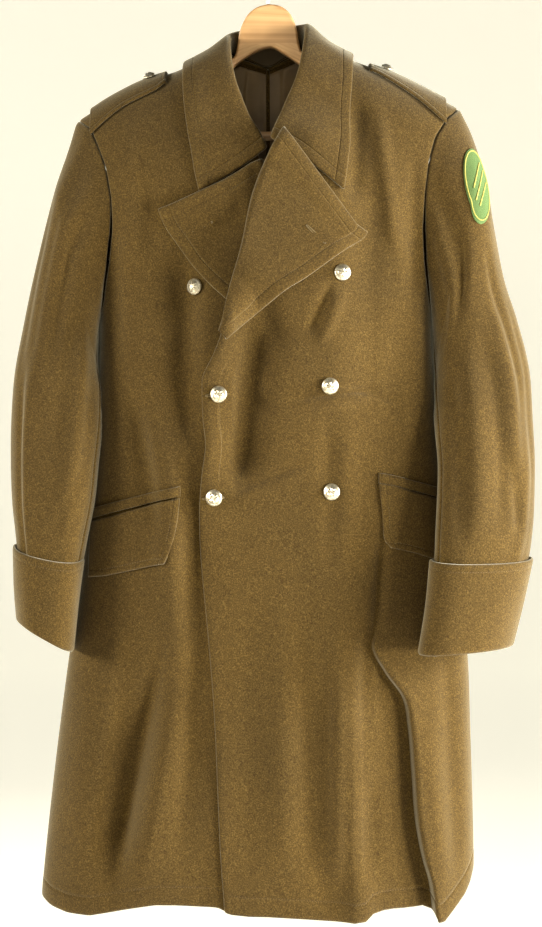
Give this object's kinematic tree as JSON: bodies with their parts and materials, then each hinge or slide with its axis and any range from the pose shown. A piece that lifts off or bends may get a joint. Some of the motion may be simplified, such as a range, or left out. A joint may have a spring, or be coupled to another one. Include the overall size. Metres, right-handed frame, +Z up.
{
  "type": "military greatcoat on a wooden coat hanger",
  "caption": "Long double-breasted wool greatcoat with wide lapels, turned-back cuffs, flap pockets and shoulder straps, hanging on a wooden hanger.",
  "frame": {"origin": "inside top of the hanger's hook, where a rod carries it", "axes": "+Z up; the coat's front faces -Y; the wearer's right is at -X"},
  "size_m": [0.6904, 0.222, 1.2795],
  "materials": {
    "khaki_wool": "thick milled wool cloth, khaki brown, matt",
    "lining_satin": "brown satin lining, soft sheen",
    "neck_tape": "ribbed brown tape",
    "patch_green": "woven badge, green with a yellow border",
    "silver_gilt": "bright stamped metal, pale gold",
    "hanger_wood": "varnished light wood",
    "hook_steel": "plated steel wire"
  },
  "bodies": {
    "root": {"front_right": "khaki_wool", "front_left": "khaki_wool", "back_right": "khaki_wool", "back_left": "khaki_wool", "top_sleeve_right": "khaki_wool", "top_sleeve_left": "khaki_wool", "under_sleeve_right": "khaki_wool", "under_sleeve_left": "khaki_wool", "cuff_right": "khaki_wool", "cuff_left": "khaki_wool", "collar": "khaki_wool", "lapel_right": "khaki_wool", "lapel_left": "khaki_wool", "pocket_flap_right": "khaki_wool", "pocket_flap_left": "khaki_wool", "pocket_welt_right": "khaki_wool", "pocket_welt_left": "khaki_wool", "shoulder_strap_right": "khaki_wool", "shoulder_strap_left": "khaki_wool", "button_right_top": "silver_gilt", "button_right_middle": "silver_gilt", "button_right_low": "silver_gilt", "button_left_top": "silver_gilt", "button_left_middle": "silver_gilt", "button_left_low": "silver_gilt", "strap_button_right": "silver_gilt", "strap_button_left": "silver_gilt", "sleeve_patch": "patch_green", "lining_back": "lining_satin", "neck_tape": "neck_tape", "hanger_arms": "hanger_wood", "hanger_bar": "hanger_wood", "hanger_hook": "hook_steel"}
  },
  "joints": []
}
